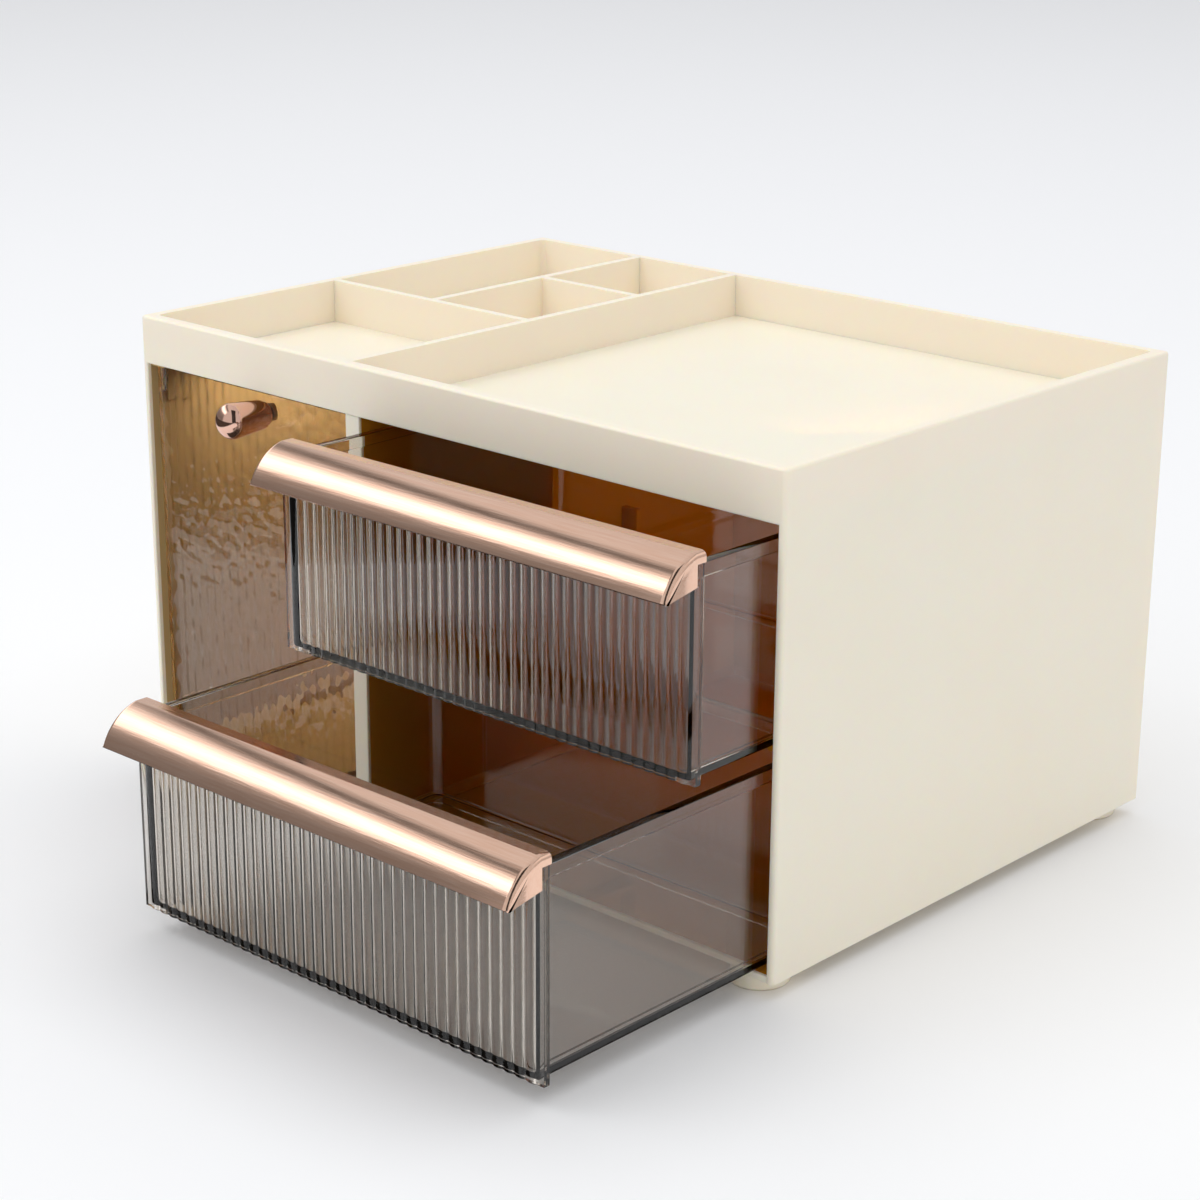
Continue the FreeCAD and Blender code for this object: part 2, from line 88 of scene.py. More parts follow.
# Faces between these two corners are inside the cabinet or the drawer bay, and are painted amber there as
# painted light and shade.
floor_low, floor_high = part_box("bottom_plate")
divider_low, divider_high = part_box("centre_divider")
divider_middle = (divider_low.x + divider_high.x) / 2
back_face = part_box("back_panel")[0].y
tray_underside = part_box("top_tray")[0].z
inside_low = Vector((floor_low.x - INSIDE_SKIN, divider_low.y + INSIDE_FRONT, floor_high.z - INSIDE_SKIN))
inside_high = Vector((floor_high.x + INSIDE_SKIN, back_face + INSIDE_SKIN, tray_underside + INSIDE_SKIN))


def linear(hex_colour):
    """An sRGB hex colour as linear red, green, blue and an alpha of one."""
    shares = [int(hex_colour[start:start + 2], 16) / 255 for start in (1, 3, 5)]
    return [s / 12.92 if s <= 0.04045 else ((s + 0.055) / 1.055) ** 2.4 for s in shares] + [1.0]


def add_node(tree, kind, sockets=None, **settings):
    """Adds a node, sets its properties, and sets or links the named input sockets."""
    made = tree.nodes.new(kind)
    for setting, value in settings.items():
        setattr(made, setting, value)
    for socket, value in (sockets or {}).items():
        if isinstance(value, bpy.types.NodeSocket):
            tree.links.new(value, made.inputs[socket])
        else:
            made.inputs[socket].default_value = value
    return made


def new_material(name, constants):
    """A material whose shader has the given constants, and its node tree, shader and Object coordinates."""
    material = bpy.data.materials.new(name)
    material.use_nodes = True
    tree = material.node_tree
    shader = tree.nodes["Principled BSDF"]
    for socket, value in constants.items():
        shader.inputs[socket].default_value = value
    coordinates = add_node(tree, "ShaderNodeTexCoord").outputs["Object"]
    return material, tree, shader, coordinates


def within_box(tree, place, low, high, axes):
    """A mask that is 1 where a place lies between two corners along the named axes, and 0 elsewhere."""
    middle = (low + high) / 2
    half = (high - low) / 2
    from_middle = add_node(tree, "ShaderNodeVectorMath", {0: place, 1: middle}, operation="SUBTRACT")
    distance = add_node(tree, "ShaderNodeVectorMath", {0: from_middle.outputs[0]}, operation="ABSOLUTE")
    share = add_node(tree, "ShaderNodeVectorMath", {0: distance.outputs[0], 1: half}, operation="DIVIDE")
    by_axis = add_node(tree, "ShaderNodeSeparateXYZ", {0: share.outputs[0]})
    furthest = by_axis.outputs[axes[0]]
    for axis in axes[1:]:
        pair = {0: furthest, 1: by_axis.outputs[axis]}
        furthest = add_node(tree, "ShaderNodeMath", pair, operation="MAXIMUM").outputs[0]
    return add_node(tree, "ShaderNodeMath", {0: furthest, 1: 1.0}, operation="LESS_THAN").outputs[0]


def cream_polystyrene():
    """Injection-moulded cream polystyrene: a satin skin that lets a little light in, faintly clouded.

    Light that comes in through its walls turns amber and leaves the inside in shade, so the inner faces are
    painted amber, as painted light and shade, and have no shine.
    """
    constants = {
        "IOR": 1.55,
        "Specular IOR Level": 0.3,
        "Subsurface Weight": 0.3,
        "Subsurface Radius": (1.0, 0.5, 0.15),
        "Subsurface Scale": CREAM_LIGHT_DEPTH,
    }
    material, tree, shader, place = new_material("moulded_cream_polystyrene", constants)
    cloud = add_node(tree, "ShaderNodeTexNoise", {"Vector": place, "Scale": 1 / CREAM_CLOUD, "Detail": 3.0})
    outer_tones = {FIRST_COLOUR: linear(CREAM_PALE), SECOND_COLOUR: linear(CREAM_DEEP)}
    outer = add_node(tree, "ShaderNodeMix", {"Factor": cloud.outputs["Fac"], **outer_tones}, data_type="RGBA")
    # The faces inside are painted amber: painted light and shade for the light that comes in through the
    # walls, a deeper amber in the drawer bay.
    across = add_node(tree, "ShaderNodeSeparateXYZ", {0: place}).outputs["X"]
    in_bay = add_node(tree, "ShaderNodeMath", {0: across, 1: divider_middle}, operation="GREATER_THAN")
    painted_inner_tones = {FIRST_COLOUR: linear(CABINET_PAINTED_LIGHT_AND_SHADE), SECOND_COLOUR: linear(BAY_PAINTED_LIGHT_AND_SHADE)}
    inner = add_node(tree, "ShaderNodeMix", {"Factor": in_bay.outputs[0], **painted_inner_tones}, data_type="RGBA")
    inside = within_box(tree, place, inside_low, inside_high, "XYZ")
    tones = {FIRST_COLOUR: outer.outputs[MIXED_COLOUR], SECOND_COLOUR: inner.outputs[MIXED_COLOUR]}
    colour = add_node(tree, "ShaderNodeMix", {"Factor": inside, **tones}, data_type="RGBA")
    tree.links.new(colour.outputs[MIXED_COLOUR], shader.inputs["Base Color"])
    glossy, dull = CREAM_ROUGHNESS
    satin = add_node(
        tree, "ShaderNodeMapRange", {"Value": cloud.outputs["Fac"], "To Min": glossy, "To Max": dull}
    )
    roughness = add_node(tree, "ShaderNodeMath", {0: satin.outputs[0], 1: inside}, operation="MAXIMUM")
    tree.links.new(roughness.outputs[0], shader.inputs["Roughness"])
    grain = add_node(tree, "ShaderNodeTexNoise", {"Vector": place, "Scale": 1 / CREAM_GRAIN, "Detail": 2.0})
    bump = add_node(
        tree,
        "ShaderNodeBump",
        {"Height": grain.outputs["Fac"], "Strength": 0.08, "Distance": CREAM_GRAIN_DEPTH},
    )
    tree.links.new(bump.outputs["Normal"], shader.inputs["Normal"])
    return material


def add_piece(name, mesh, body, material, slot, *replaced):
    """Puts a finished bmesh in the scene as a piece that rides on a body and stands for CAD nodes.

    Small faces are shaded smooth up to sharp edges, and large ones flat, so that they keep true reflections.
    """
    data = bpy.data.meshes.new(name)
    mesh.to_mesh(data)
    mesh.free()
    data.materials.append(material)
    data.shade_smooth()
    data.set_sharp_from_angle(angle=SHARP_ANGLE)
    for face in data.polygons:
        face.use_smooth = face.area < FLAT_AREA
    made = bpy.data.objects.new(name, data)
    scene.collection.objects.link(made)
    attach(made, body)
    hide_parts(*replaced)


def merged_copy(node):
    """A CAD node's mesh with its loose triangles joined and its flat faces made whole."""
    mesh = bmesh.new()
    mesh.from_mesh(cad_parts[node].data)
    bmesh.ops.remove_doubles(mesh, verts=mesh.verts, dist=MERGE_DISTANCE)
    bmesh.ops.dissolve_limit(mesh, angle_limit=radians(0.5), verts=mesh.verts, edges=mesh.edges)
    return mesh


def round_edges(mesh, width):
    """Rounds every sharp edge of a mesh and gives the mesh back."""
    sharp = [e for e in mesh.edges if e.calc_face_angle() > SHARP_ANGLE]
    bmesh.ops.bevel(
        mesh,
        geom=sharp,
        offset=width,
        affect="EDGES",
        segments=3,
        profile=0.5,
        material=-1,
        clamp_overlap=True,
    )
    return mesh


cream = cream_polystyrene()
for node in SHAPED_NODES:
    add_piece(node + "_moulding", merged_copy(node), "case", cream, "cream_plastic", node)
for node in PLAIN_NODES + RUNNER_NODES:
    mesh = round_edges(merged_copy(node), MOULD_ROUND)
    add_piece(node + "_moulding", mesh, "case", cream, "cream_plastic", node)

# Feet: four round pads under the corners, moulded in the same cream polystyrene with a rounded lower edge
# and fixed under the floor.
for node in ("foot_front_left", "foot_front_right", "foot_back_left", "foot_back_right"):
    add_piece(node + "_pad", merged_copy(node), "case", cream, "foot_pad", node)

# Door: one clear panel of smoke-brown polystyrene that turns on two pins. Its front was moulded against a
# hammered plate, and its back has fine upright reeds, so what lies behind it breaks up into soft stripes.
DOOR_TINT = "#B0A89C"
DOOR_DENSITY = 120.0
DOOR_REED = 0.0042
DOOR_REED_HEIGHT = 0.0001
DOOR_REED_STEPS = 8
DOOR_ROW = 0.0009
HAMMER_SPACING = 0.0045
HAMMER_DEPTH = 0.0004
SMOKE_FLOW = 0.025
SMOKE_FLOW_DEPTH = 0.00005
SMOKE_HAZE = 0.02

door_low, door_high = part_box("door_panel")
door_size = door_high - door_low
door_centre = (door_low + door_high) / 2
door_columns = int(door_size.x / DOOR_REED * DOOR_REED_STEPS)
door_rows = int(door_size.z / DOOR_ROW)


def smoked_polystyrene(name, tint, density):
    """Clear polystyrene with a dye through it: thin walls look grey and long paths through an edge dark."""
    constants = {"Base Color": (1.0, 1.0, 1.0, 1.0), "IOR": 1.59, "Transmission Weight": 1.0}
    material, tree, shader, place = new_material(name, constants)
    flow = add_node(tree, "ShaderNodeTexNoise", {"Vector": place, "Scale": 1 / SMOKE_FLOW, "Detail": 1.0})
    haze = add_node(
        tree, "ShaderNodeMapRange", {"Value": flow.outputs["Fac"], "To Min": 0.0, "To Max": SMOKE_HAZE}
    )
    tree.links.new(haze.outputs[0], shader.inputs["Roughness"])
    bump = add_node(
        tree,
        "ShaderNodeBump",
        {"Height": flow.outputs["Fac"], "Strength": 0.03, "Distance": SMOKE_FLOW_DEPTH},
    )
    tree.links.new(bump.outputs["Normal"], shader.inputs["Normal"])
    dye = add_node(tree, "ShaderNodeVolumeAbsorption", {"Color": linear(tint), "Density": density})
    tree.links.new(dye.outputs["Volume"], tree.nodes["Material Output"].inputs["Volume"])
    return material


def door_side(mesh, depth):
    """One upright grid of the door's face at a depth, and its outer ring of edges."""
    grid = bmesh.ops.create_grid(mesh, x_segments=door_columns, y_segments=door_rows, size=0.5)["verts"]
    bmesh.ops.scale(mesh, vec=(door_size.x, door_size.z, 1), verts=grid)
    bmesh.ops.rotate(mesh, cent=(0, 0, 0), matrix=Matrix.Rotation(pi / 2, 3, "X"), verts=grid)
    bmesh.ops.translate(mesh, vec=(door_centre.x, depth, door_centre.z), verts=grid)
    inside = set(grid)
    return grid, [e for e in mesh.edges if e.is_boundary and e.verts[0] in inside]


mesh = bmesh.new()
hammered, front_ring = door_side(mesh, door_low.y)
reeded, back_ring = door_side(mesh, door_high.y)
for vertex in hammered:
    nearest = noise.voronoi(vertex.co / HAMMER_SPACING)[0][0]
    vertex.co.y += HAMMER_DEPTH * (1 - min(1.0, nearest) ** 2)
for vertex in reeded:
    turn = (vertex.co.x - door_low.x) / DOOR_REED * 2 * pi
    vertex.co.y -= DOOR_REED_HEIGHT * (0.5 + 0.5 * cos(turn))
bmesh.ops.bridge_loops(mesh, edges=front_ring + back_ring)
bmesh.ops.recalc_face_normals(mesh, faces=mesh.faces)
door_plastic = smoked_polystyrene("smoke_brown_polystyrene", DOOR_TINT, DOOR_DENSITY)
add_piece("door_hammered_panel", mesh, "door", door_plastic, "amber_plastic", "door_panel")

# Knob: a turned pull with a domed end, plated in polished rose gold and held by a screw through the door. A
# narrow turned collar stands between it and the panel.
KNOB_BASE_RADIUS = 0.005
KNOB_BASE_ROUND = 0.0006
KNOB_DOME = 0.0048
KNOB_DOME_STEPS = 10
COLLAR_ROUND = 0.0003
TURNED_STEPS = 64
POLISHED_COLOUR = "#EBBFAC"
POLISHED_ROUGHNESS = (0.05, 0.14)
WIPE_SPACING = 0.0015

knob_low, knob_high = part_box("knob")
collar_low, collar_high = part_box("knob_collar")
knob_radius = (knob_high.x - knob_low.x) / 2
collar_radius = (collar_high.x - collar_low.x) / 2


def plated_metal(name, colour, grain, roughness):
    """Plated metal: a mirror of its colour whose sharpness changes a little over wiping or tumbling marks."""
    constants = {"Base Color": linear(colour), "Metallic": 1.0}
    material, tree, shader, place = new_material(name, constants)
    marks = add_node(tree, "ShaderNodeTexNoise", {"Vector": place, "Scale": 1 / grain, "Detail": 4.0})
    sharp, dull = roughness
    polish = add_node(
        tree, "ShaderNodeMapRange", {"Value": marks.outputs["Fac"], "To Min": sharp, "To Max": dull}
    )
    tree.links.new(polish.outputs[0], shader.inputs["Roughness"])
    return material


def turned(outline, centre):
    """A mesh turned about a line through centre along Y, from (distance from the axis, depth) points."""
    mesh = bmesh.new()
    profile = [mesh.verts.new((centre.x + radius, depth, centre.z)) for radius, depth in outline]
    edges = [mesh.edges.new(pair) for pair in zip(profile, profile[1:])]
    bmesh.ops.spin(
        mesh,
        geom=profile + edges,
        cent=centre,
        axis=(0, 1, 0),
        dvec=(0, 0, 0),
        angle=2 * pi,
        steps=TURNED_STEPS,
        use_merge=True,
    )
    bmesh.ops.remove_doubles(mesh, verts=mesh.verts, dist=MERGE_DISTANCE)
    bmesh.ops.recalc_face_normals(mesh, faces=mesh.faces)
    return mesh


def quarter_round(start, end, first_axis, steps=6):
    """Points of a quarter ellipse from start, which isn't among them, to end, setting out along an axis."""
    points = []
    for step in range(1, steps + 1):
        angle = step / steps * pi / 2
        shares = (sin(angle), 1 - cos(angle)) if first_axis == 0 else (1 - cos(angle), sin(angle))
        points.append(tuple(a + (b - a) * share for a, b, share in zip(start, end, shares)))
    return points


polished = plated_metal("polished_rose_gold_plate", POLISHED_COLOUR, WIPE_SPACING, POLISHED_ROUGHNESS)
dome_start = (knob_radius, knob_low.y + KNOB_DOME)
outline = [(0, knob_high.y), (KNOB_BASE_RADIUS - KNOB_BASE_ROUND, knob_high.y)]
outline += quarter_round(outline[-1], (KNOB_BASE_RADIUS, knob_high.y - KNOB_BASE_ROUND), 0)
outline += [dome_start] + quarter_round(dome_start, (0, knob_low.y), 1, KNOB_DOME_STEPS)
mesh = turned(outline, (knob_low + knob_high) / 2)
add_piece("knob_turned", mesh, "door", polished, "rose_gold_knob", "knob")
outline = [(radius, collar_high.y) for radius in (0, collar_radius)]
outline += [(radius, collar_low.y) for radius in (collar_radius, 0)]
mesh = round_edges(turned(outline, (collar_low + collar_high) / 2), COLLAR_ROUND)
add_piece("knob_collar_ring", mesh, "door", polished, "rose_gold_knob", "knob_collar")

# Door hardware: the pins are of the door's plastic and sit in its ends, the knob's screw and the catch's
# strike are zinc-plated steel, and the magnet is a dark nickel-plated block on the floor beside the divider.
STEEL_ROUND = 0.0002
TUMBLED_GRAIN = 0.0008
ZINC_COLOUR = "#C4C2BC"
ZINC_ROUGHNESS = (0.22, 0.38)
NICKEL_COLOUR = "#6E6B67"
NICKEL_ROUGHNESS = (0.25, 0.4)

zinc = plated_metal("zinc_plated_steel", ZINC_COLOUR, TUMBLED_GRAIN, ZINC_ROUGHNESS)
nickel = plated_metal("nickel_plated_magnet", NICKEL_COLOUR, TUMBLED_GRAIN, NICKEL_ROUGHNESS)
for node in ("knob_screw", "catch_strike"):
    mesh = round_edges(merged_copy(node), STEEL_ROUND)
    add_piece(node + "_steel", mesh, "door", zinc, "steel", node)
for node in ("door_pin_top", "door_pin_bottom"):
    add_piece(node + "_moulding", merged_copy(node), "door", door_plastic, "amber_plastic", node)
mesh = round_edges(merged_copy("catch_magnet"), STEEL_ROUND)
add_piece("catch_magnet_block", mesh, "case", nickel, "magnet", "catch_magnet")

# Drawers: each is one moulding of clear, smoke-grey polystyrene, a thin tub with a sunk floor, welded to a
# front panel with upright reeds. The tub's wall rises ring by ring from the bottom, turns out into a narrow
# rim and comes down again inside.
DRAWER_TINT = "#B49A66"
DRAWER_DENSITY = 96.0
REED_COUNT = 39
REED_HEIGHT = 0.00055
REED_LAND = 0.0003
REED_STEPS = 10
PANEL_MARGIN = 0.0026
TUB_WALL = 0.0018
TUB_FLOOR = 0.0018
TUB_CORNER = 0.0036
TUB_CORNER_STEPS = 8
TUB_ROUND = 0.001
TUB_ROUND_STEPS = 4
RIM_FLANGE = 0.0012
RIM_DEPTH = 0.004
RIM_ROUND = 0.0003
RIM_ROUND_STEPS = 3
SUNK_MARGIN = 0.006
SUNK_GAP = 0.0001
WELD = 0.001
WELD_GAP = 0.0001


def reeded_panel(low, high):
    """The drawer's front: a plate whose plan has a row of round reeds along its front, drawn straight up."""
    mesh = bmesh.new()
    base = low.y + REED_HEIGHT
    pitch = (high.x - low.x - 2 * PANEL_MARGIN) / REED_COUNT
    half = (pitch - REED_LAND) / 2
    radius = (half * half + REED_HEIGHT * REED_HEIGHT) / (2 * REED_HEIGHT)
    turn = 2 * asin(half / radius)
    for reed in range(REED_COUNT):
        centre_x = low.x + PANEL_MARGIN + (reed + 0.5) * pitch
        start = mesh.verts.new((centre_x - half, base, low.z))
        centre = (centre_x, base + radius - REED_HEIGHT, low.z)
        bmesh.ops.spin(
            mesh, geom=[start], cent=centre, axis=(0, 0, 1), dvec=(0, 0, 0), angle=turn, steps=REED_STEPS
        )
    mesh.verts.new((low.x, base, low.z))
    mesh.verts.new((high.x, base, low.z))
    row = sorted(mesh.verts, key=lambda vertex: vertex.co.x)
    corners = [mesh.verts.new((x, high.y, low.z)) for x in (high.x, low.x)]
    plan = mesh.faces.new(row + corners)
    raised = bmesh.ops.extrude_face_region(mesh, geom=[plan])["geom"]
    top = [g for g in raised if isinstance(g, bmesh.types.BMVert)]
    bmesh.ops.translate(mesh, vec=(0, 0, high.z - low.z), verts=top)
    bmesh.ops.recalc_face_normals(mesh, faces=mesh.faces)
    return mesh


def fit_ring(verts, low_x, high_x, low_y, high_y, height):
    """Stretches a level ring of vertices to a new rectangle at a height."""
    old_x = [min(v.co.x for v in verts), max(v.co.x for v in verts)]
    old_y = [min(v.co.y for v in verts), max(v.co.y for v in verts)]
    for v in verts:
        v.co.x = low_x + (v.co.x - old_x[0]) / (old_x[1] - old_x[0]) * (high_x - low_x)
        v.co.y = low_y + (v.co.y - old_y[0]) / (old_y[1] - old_y[0]) * (high_y - low_y)
        v.co.z = height


def tub_rings(low, high, lowest):
    """The (outset, height) of each ring of the tub, outside from the sunk floor to the rim, then inside."""
    inner_floor = low.z + TUB_FLOOR
    rim_under = high.z - RIM_DEPTH
    rim_inside = (-TUB_WALL, high.z - RIM_ROUND)
    outside = [(-SUNK_MARGIN, lowest), (-SUNK_MARGIN, low.z), (-TUB_ROUND, low.z)]
    outside += quarter_round(outside[-1], (0, low.z + TUB_ROUND), 0, TUB_ROUND_STEPS)
    outside += [(0, rim_under), (RIM_FLANGE, rim_under), (RIM_FLANGE, high.z - RIM_ROUND)]
    outside += quarter_round(outside[-1], (RIM_FLANGE - RIM_ROUND, high.z), 1, RIM_ROUND_STEPS)
    outside += [(RIM_ROUND - TUB_WALL, high.z)]
    outside += quarter_round(outside[-1], rim_inside, 0, RIM_ROUND_STEPS)[:-1]
    inside = [rim_inside, (-TUB_WALL, inner_floor + TUB_ROUND)]
    inside += quarter_round(inside[-1], (-TUB_WALL - TUB_ROUND, inner_floor), 1, TUB_ROUND_STEPS)
    return outside, inside


def tub(low, high, front, lowest):
    """The drawer's tub, whose front edge is set into the panel so that the two become one."""
    mesh = bmesh.new()
    wall_x = (low.x + RIM_FLANGE, high.x - RIM_FLANGE)
    wall_back = high.y - RIM_FLANGE
    corners = [(wall_x[0], front), (wall_x[1], front), (wall_x[1], wall_back), (wall_x[0], wall_back)]
    bottom = mesh.faces.new([mesh.verts.new((x, y, low.z)) for x, y in corners])
    back_corners = [v for v in bottom.verts if v.co.y > front + TUB_CORNER]
    bmesh.ops.bevel(
        mesh,
        geom=back_corners,
        offset=TUB_CORNER,
        affect="VERTICES",
        segments=TUB_CORNER_STEPS,
        profile=0.5,
        material=-1,
    )
    outside, inside = tub_rings(low, high, lowest)
    behind_panel = front + WELD + WELD_GAP
    rings = [(front, *ring) for ring in outside] + [(behind_panel, *ring) for ring in inside]
    ring_edges = list(mesh.edges)
    for index, (near, outset, height) in enumerate(rings):
        if index:
            grown = bmesh.ops.extrude_edge_only(mesh, edges=ring_edges)["geom"]
            ring_edges = [g for g in grown if isinstance(g, bmesh.types.BMEdge)]
        verts = list({v for e in ring_edges for v in e.verts})
        fit_ring(verts, wall_x[0] - outset, wall_x[1] + outset, near, wall_back + outset, height)
    bmesh.ops.edgeloop_fill(mesh, edges=ring_edges)
    bmesh.ops.recalc_face_normals(mesh, faces=mesh.faces)
    return mesh


def joined(first, second):
    """One closed mesh from two that overlap."""
    objects = []
    for name, part in (("join_first", first), ("join_second", second)):
        data = bpy.data.meshes.new(name)
        part.to_mesh(data)
        part.free()
        objects.append(bpy.data.objects.new(name, data))
        scene.collection.objects.link(objects[-1])
    union = objects[0].modifiers.new("union", "BOOLEAN")
    union.operation = "UNION"
    union.solver = "EXACT"
    union.object = objects[1]
    bpy.context.view_layer.update()
    result = bmesh.new()
    result.from_object(objects[0], bpy.context.evaluated_depsgraph_get())
    for used in objects:
        bpy.data.meshes.remove(used.data)
    return result


smoke = smoked_polystyrene("smoke_grey_polystyrene", DRAWER_TINT, DRAWER_DENSITY)
for drawer in ("upper", "lower"):
    body = drawer + "_drawer"
    panel_low, panel_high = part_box(body + "_front")
    panel = reeded_panel(panel_low, panel_high)
    mesh = joined(panel, tub(*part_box(body + "_tub"), panel_high.y - WELD, panel_low.z + SUNK_GAP))
    add_piece(body + "_moulding", mesh, body, smoke, "smoky_plastic", body + "_tub", body + "_front")

# Pulls: an arched bar of plated plastic, brushed along its length, that hooks over the top of each drawer
# front. Its ends are closed and well rounded, and it is hollow underneath for the fingers.
PULL_RADIUS = 0.018
PULL_FLAT = 0.0038
PULL_LIP = 0.003
PULL_LIP_THICKNESS = 0.0032
PULL_HEIGHT = 0.012
PULL_BACK_HEIGHT = 0.0096
PULL_WALL = 0.0016
PULL_END_ROUND = 0.0018
PULL_EDGE_ROUND = 0.0009
PULL_STEPS = 24
HOLLOW_DEPTH = 0.0015
HOLLOW_SLOPE = 0.4
FACING_DOWN = -0.8
PULL_DEEP = "#EBBBA0"
PULL_PALE = "#F8D6C2"
PULL_ROUGHNESS = (0.06, 0.16)
BRUSH_LENGTH = 0.014
BRUSH_SPACING = 0.0007
BRUSH_DEPTH = 0.00005


def brushed_rose_gold():
    """Rose-gold plating brushed lengthways: fine lines along X that draw the light out across them.

    Real brush lines are too fine to show in the render, so they are drawn as coarse as they need to be.
    """
    material, tree, shader, place = new_material("brushed_rose_gold_plate", {"Metallic": 1.0})
    fineness = (1 / BRUSH_LENGTH, 1 / BRUSH_SPACING, 1 / BRUSH_SPACING)
    stretch = add_node(tree, "ShaderNodeMapping", {"Vector": place, "Scale": fineness})
    lines = add_node(tree, "ShaderNodeTexNoise", {"Vector": stretch.outputs[0], "Scale": 1.0, "Detail": 5.0})
    tones = {FIRST_COLOUR: linear(PULL_DEEP), SECOND_COLOUR: linear(PULL_PALE)}
    tint = add_node(tree, "ShaderNodeMix", {"Factor": lines.outputs["Fac"], **tones}, data_type="RGBA")
    tree.links.new(tint.outputs[MIXED_COLOUR], shader.inputs["Base Color"])
    sharp, dull = PULL_ROUGHNESS
    satin = add_node(
        tree, "ShaderNodeMapRange", {"Value": lines.outputs["Fac"], "To Min": sharp, "To Max": dull}
    )
    tree.links.new(satin.outputs[0], shader.inputs["Roughness"])
    bump = add_node(
        tree, "ShaderNodeBump", {"Height": lines.outputs["Fac"], "Strength": 0.5, "Distance": BRUSH_DEPTH}
    )
    tree.links.new(bump.outputs["Normal"], shader.inputs["Normal"])
    return material


def pull_section(low, high):
    """The arch's centre, its spokes from the flat to the tip, and the corners behind, in depth and height."""
    top = high.z
    front = high.y - PULL_LIP - REED_HEIGHT
    lip_under = top - PULL_LIP_THICKNESS
    start = Vector((high.y - PULL_FLAT, top))
    tip = Vector((low.y, top - PULL_HEIGHT))
    chord = start - tip
    inward = Vector((chord.y, -chord.x)).normalized()
    centre = (start + tip) / 2 + inward * (PULL_RADIUS ** 2 - (chord.length / 2) ** 2) ** 0.5
    turn = 2 * asin(chord.length / 2 / PULL_RADIUS)
    spokes = [start - centre]
    for _ in range(PULL_STEPS - 1):
        spokes.append(Matrix.Rotation(turn / PULL_STEPS, 2) @ spokes[-1])
    back = Vector((front, top - PULL_BACK_HEIGHT))
    under_tip = tip + (back - tip).normalized() * PULL_EDGE_ROUND
    corners = [under_tip, back, Vector((front, lip_under)), Vector((high.y, lip_under))]
    return centre, spokes, corners


def pull(low, high):
    """The bar drawn from one rounded end to the other, with a hollow pressed up into its underside."""
    mesh = bmesh.new()
    centre, spokes, corners = pull_section(low, high)
    stations = [(low.x, PULL_END_ROUND)]
    stations += quarter_round(stations[0], (low.x + PULL_END_ROUND, 0), 1)
    stations += [(low.x + high.x - x, inset) for x, inset in reversed(stations)]
    rings = []
    for x, inset in stations:
        points = [centre + spoke * (1 - inset / PULL_RADIUS) for spoke in spokes] + corners
        points.append(Vector((high.y, high.z - inset)))
        verts = [mesh.verts.new((x, *point)) for point in points]
        rings.append([mesh.edges.new(pair) for pair in zip(verts, verts[1:] + verts[:1])])
    for ring, following in zip(rings, rings[1:]):
        bmesh.ops.bridge_loops(mesh, edges=ring + following)
    for ring in (rings[0], rings[-1]):
        bmesh.ops.edgeloop_fill(mesh, edges=ring)
    bmesh.ops.recalc_face_normals(mesh, faces=mesh.faces)
    # A long bar can come out of that inside out, which its signed volume shows.
    if mesh.calc_volume(signed=True) < 0:
        bmesh.ops.reverse_faces(mesh, faces=mesh.faces)
    downward = [face for face in mesh.faces if face.normal.z < FACING_DOWN]
    underside = max(downward, key=lambda face: face.calc_area())
    bmesh.ops.inset_region(mesh, faces=[underside], thickness=PULL_WALL, use_even_offset=True)
    pressed = bmesh.ops.extrude_face_region(mesh, geom=[underside])["geom"]
    bmesh.ops.delete(mesh, geom=[underside], context="FACES_ONLY")
    for vertex in [g for g in pressed if isinstance(g, bmesh.types.BMVert)]:
        vertex.co.z += HOLLOW_DEPTH + HOLLOW_SLOPE * (vertex.co.y - low.y - PULL_WALL)
    return mesh


rose_gold = brushed_rose_gold()
for drawer in ("upper", "lower"):
    mesh = pull(*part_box(drawer + "_handle"))
    add_piece(drawer + "_pull", mesh, drawer + "_drawer", rose_gold, "rose_gold", drawer + "_handle")

# Table: a sheet of white paper under and behind the part. Reflections show it dark beyond its left edge, and
# under the part as a painted shade, as the clear walls and the plating in the photograph do.
AZIMUTH = radians(42.57)
TABLE_HALF_WIDTH = 10
TABLE_NEAR = "#F6F7F9"
TABLE_FAR = "#F4F5F8"
TABLE_DARK_AND_PAINTED_SHADE = "#4A4541"
TABLE_FADE = (-0.2, 1.2)
TABLE_EDGE = -0.435

sideways = Vector((cos(AZIMUTH), sin(AZIMUTH), 0))
onward = Vector((-sin(AZIMUTH), cos(AZIMUTH), 0))


